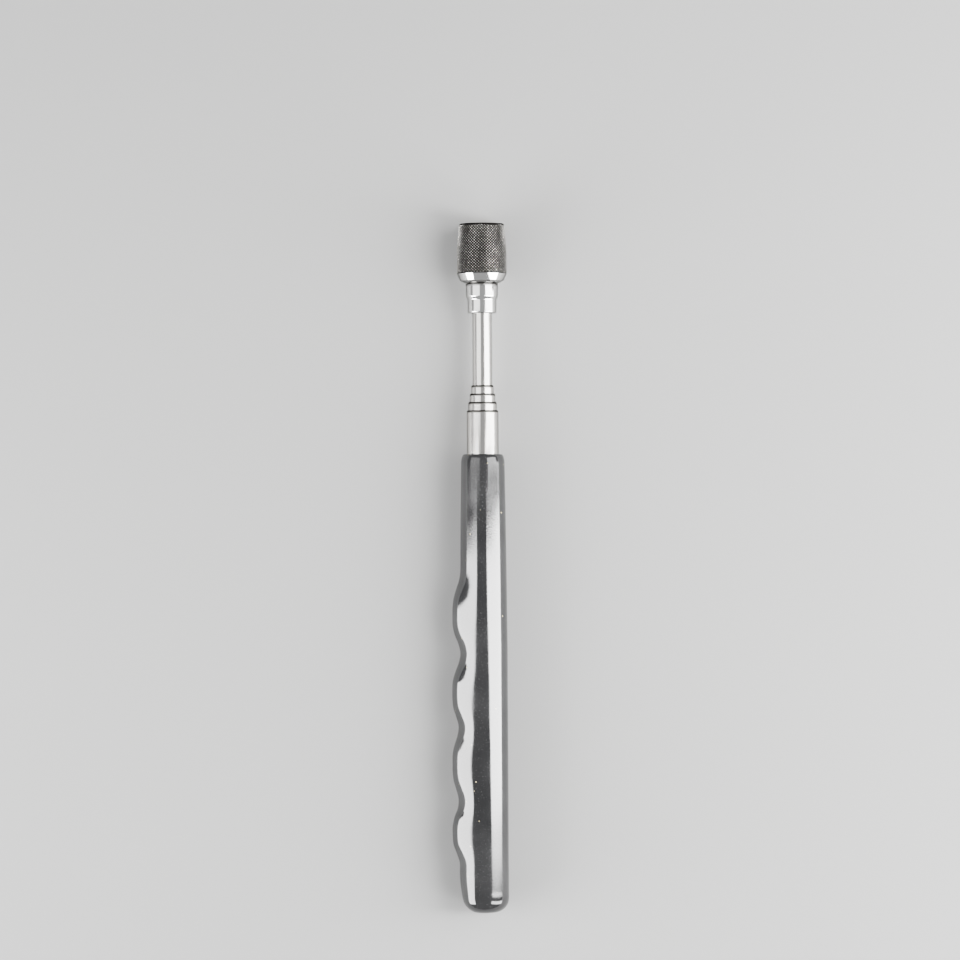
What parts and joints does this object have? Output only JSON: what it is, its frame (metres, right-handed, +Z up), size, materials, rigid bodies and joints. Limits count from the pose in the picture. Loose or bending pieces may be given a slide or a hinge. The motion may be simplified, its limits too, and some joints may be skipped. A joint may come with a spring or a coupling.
{
  "type": "magnetic pickup tool",
  "caption": "Telescopic magnetic pickup tool: a vinyl grip with finger bumps, nested plated tubes, and a knurled cup that holds a magnet at the tip.",
  "frame": {"origin": "middle of the butt's flat end, on the tubes' common axis", "axes": "+Y along the tool from butt to magnet, finger bumps towards -X, +Z up as it lies on a bench"},
  "size_m": [0.0147, 0.1778, 0.0128],
  "materials": {
    "grip_vinyl": "dipped black vinyl, glossy with a faint pebble and a few dust specks",
    "tube_plating": "nickel plate, polished along the tube",
    "collar_plating": "bright chrome, turned",
    "head_plating": "fine diamond knurl in dark plating, with a bright polished taper at its foot",
    "plain_steel": "turned, unplated",
    "brass": "turned",
    "spring_bronze": "rolled phosphor bronze strip",
    "plug_plastic": "natural grey moulded nylon",
    "magnet_plating": "satin nickel over the magnet"
  },
  "bodies": {
    "handle": {"grip": "grip_vinyl", "base_tube": "tube_plating", "base_plug": "plug_plastic"},
    "stage_1_spring": {"tube_1_friction_spring": "spring_bronze"},
    "stage_1": {"tube_1": "tube_plating", "tube_1_foot_bush": "brass"},
    "stage_2_spring": {"tube_2_friction_spring": "spring_bronze"},
    "stage_2": {"tube_2": "tube_plating", "tube_2_foot_bush": "brass"},
    "stage_3_spring": {"tube_3_friction_spring": "spring_bronze"},
    "stage_3": {"tube_3": "tube_plating", "tube_3_foot_bush": "brass"},
    "rod_spring": {"rod_friction_spring": "spring_bronze"},
    "rod_and_head": {"rod": "tube_plating", "rod_foot_bush": "brass", "collar": "collar_plating", "head_stud": "plain_steel", "head_housing": "head_plating", "back_plate": "plain_steel", "magnet_sleeve": "brass", "magnet": "magnet_plating"}
  },
  "joints": [
    {"name": "stage_1_slide", "type": "slide", "parent": "handle", "child": "stage_1_spring", "axis": [0, 1, 0], "range_m": [0, 0.1143]},
    {"name": "stage_1_turn", "type": "hinge", "parent": "stage_1_spring", "child": "stage_1", "pos_m": [0, 0, 0], "axis": [0, 1, 0], "continuous": true},
    {"name": "stage_2_slide", "type": "slide", "parent": "stage_1", "child": "stage_2_spring", "axis": [0, 1, 0], "range_m": [0, 0.1143]},
    {"name": "stage_2_turn", "type": "hinge", "parent": "stage_2_spring", "child": "stage_2", "pos_m": [0, 0, 0], "axis": [0, 1, 0], "continuous": true},
    {"name": "stage_3_slide", "type": "slide", "parent": "stage_2", "child": "stage_3_spring", "axis": [0, 1, 0], "range_m": [0, 0.1143]},
    {"name": "stage_3_turn", "type": "hinge", "parent": "stage_3_spring", "child": "stage_3", "pos_m": [0, 0, 0], "axis": [0, 1, 0], "continuous": true},
    {"name": "rod_slide", "type": "slide", "parent": "stage_3", "child": "rod_spring", "axis": [0, 1, 0], "range_m": [0, 0.1143]},
    {"name": "rod_turn", "type": "hinge", "parent": "rod_spring", "child": "rod_and_head", "pos_m": [0, 0, 0], "axis": [0, 1, 0], "continuous": true}
  ]
}
